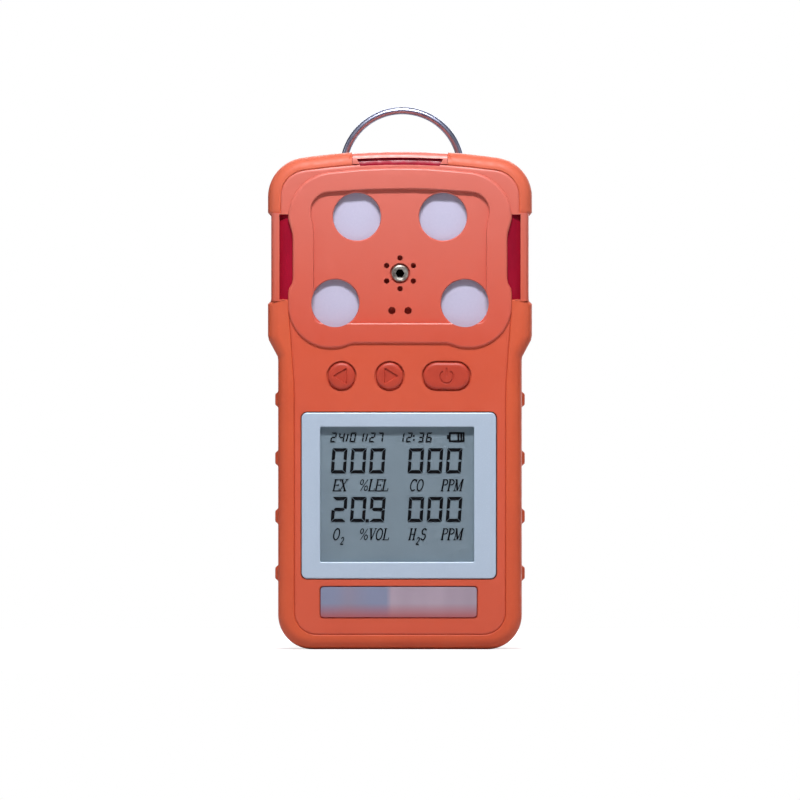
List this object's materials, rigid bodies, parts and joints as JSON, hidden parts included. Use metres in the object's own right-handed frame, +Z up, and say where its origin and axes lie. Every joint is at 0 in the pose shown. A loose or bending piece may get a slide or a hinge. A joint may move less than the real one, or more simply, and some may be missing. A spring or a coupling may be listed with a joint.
{
  "type": "portable gas detector",
  "caption": "Hand-held multi-gas detector in a ribbed rubber boot, with sensor inlets, a framed display, keys, alarm windows, a hanging ring and a belt clip.",
  "frame": {"origin": "centre of the flat bottom, under the middle of the case's depth", "axes": "+Z up the detector's length, front face towards -Y, +X to the right seen from the front"},
  "size_m": [0.0688, 0.0436, 0.1416],
  "materials": {
    "orange_rubber": "matt moulded rubber",
    "orange_plastic": "fine satin moulding",
    "alarm_red": "clear dark red plastic, glossy",
    "satin_silver": "satin silver-blue paint",
    "screen_glass": "clear, slightly anti-glare",
    "membrane": "matt fibrous filter",
    "bright_steel": "polished plated steel",
    "brushed_steel": "plain steel",
    "dark_rubber": "matt black rubber",
    "black_plastic": "matt black plastic",
    "pale_plastic": "plain moulding",
    "board_green": "solder mask",
    "battery_wrap": "shrink wrap"
  },
  "bodies": {
    "case": {"boot": "orange_rubber", "front_case": "orange_plastic", "rear_case": "orange_plastic", "sensor_cover": "orange_plastic", "case_gasket": "dark_rubber", "battery_pad": "dark_rubber", "display_bezel": "satin_silver", "name_plate": "satin_silver", "display_window": "screen_glass", "lcd_module": "black_plastic", "board_connector": "black_plastic", "buzzer": "black_plastic", "battery": "battery_wrap", "sensor_board": "board_green", "main_board": "board_green", "keypad_board": "board_green", "alarm_window_left": "alarm_red", "alarm_window_right": "alarm_red", "alarm_window_top": "alarm_red", "alarm_light_left": "pale_plastic", "alarm_light_right": "pale_plastic", "alarm_light_top": "pale_plastic", "cover_screw": "bright_steel", "ring_bracket": "brushed_steel", "clip_base": "brushed_steel", "clip_pin": "brushed_steel", "clip_spring": "brushed_steel", "charging_socket": "brushed_steel", "vibration_motor": "brushed_steel", "case_screw_1": "brushed_steel", "sensor_filter_1": "membrane", "sensor_gasket_1": "dark_rubber", "sensor_cell_1": "pale_plastic", "case_screw_2": "brushed_steel", "sensor_filter_2": "membrane", "sensor_gasket_2": "dark_rubber", "sensor_cell_2": "pale_plastic", "case_screw_3": "brushed_steel", "sensor_filter_3": "membrane", "sensor_gasket_3": "dark_rubber", "sensor_cell_3": "pale_plastic", "case_screw_4": "brushed_steel", "sensor_filter_4": "membrane", "sensor_gasket_4": "dark_rubber", "sensor_cell_4": "pale_plastic", "snap_dome_1": "brushed_steel", "snap_dome_2": "brushed_steel", "snap_dome_3": "brushed_steel", "ring_screw_1": "brushed_steel", "clip_screw_1": "brushed_steel", "ring_screw_2": "brushed_steel", "clip_screw_2": "brushed_steel"},
    "ring": {"hanging_ring": "bright_steel"},
    "clip": {"belt_clip": "brushed_steel"},
    "left_key": {"key_left": "orange_rubber"},
    "right_key": {"key_right": "orange_rubber"},
    "power_key": {"key_power": "orange_rubber"},
    "flap": {"port_cover": "dark_rubber"},
    "motor_weight": {"eccentric_weight": "brushed_steel"}
  },
  "joints": [
    {"name": "ring_swing", "type": "hinge", "parent": "case", "child": "ring", "pos_m": [0, 0.0194, 0.116], "axis": [-1, 0, 0], "range_deg": [0, 120]},
    {"name": "clip_squeeze", "type": "hinge", "parent": "case", "child": "clip", "pos_m": [0, 0.0224, 0.093], "axis": [1, 0, 0], "range_deg": [0, 14], "stiffness_Nm_per_rad": 0.25, "springref_deg": -22.92, "deforming": ["clip_spring"]},
    {"name": "key_left_press", "type": "slide", "parent": "case", "child": "left_key", "axis": [0, 1, 0], "range_m": [0, 0.0007], "stiffness_N_per_m": 900, "springref_m": -0.0003},
    {"name": "key_right_press", "type": "slide", "parent": "case", "child": "right_key", "axis": [0, 1, 0], "range_m": [0, 0.0007], "stiffness_N_per_m": 900, "springref_m": -0.0003},
    {"name": "key_power_press", "type": "slide", "parent": "case", "child": "power_key", "axis": [0, 1, 0], "range_m": [0, 0.0007], "stiffness_N_per_m": 900, "springref_m": -0.0003},
    {"name": "flap_open", "type": "hinge", "parent": "case", "child": "flap", "pos_m": [0, 0.01595, 0.00685], "axis": [-1, 0, 0], "range_deg": [0, 100]},
    {"name": "weight_spin", "type": "hinge", "parent": "case", "child": "motor_weight", "pos_m": [0.004, 0.008, 0.117], "axis": [1, 0, 0], "continuous": true}
  ]
}
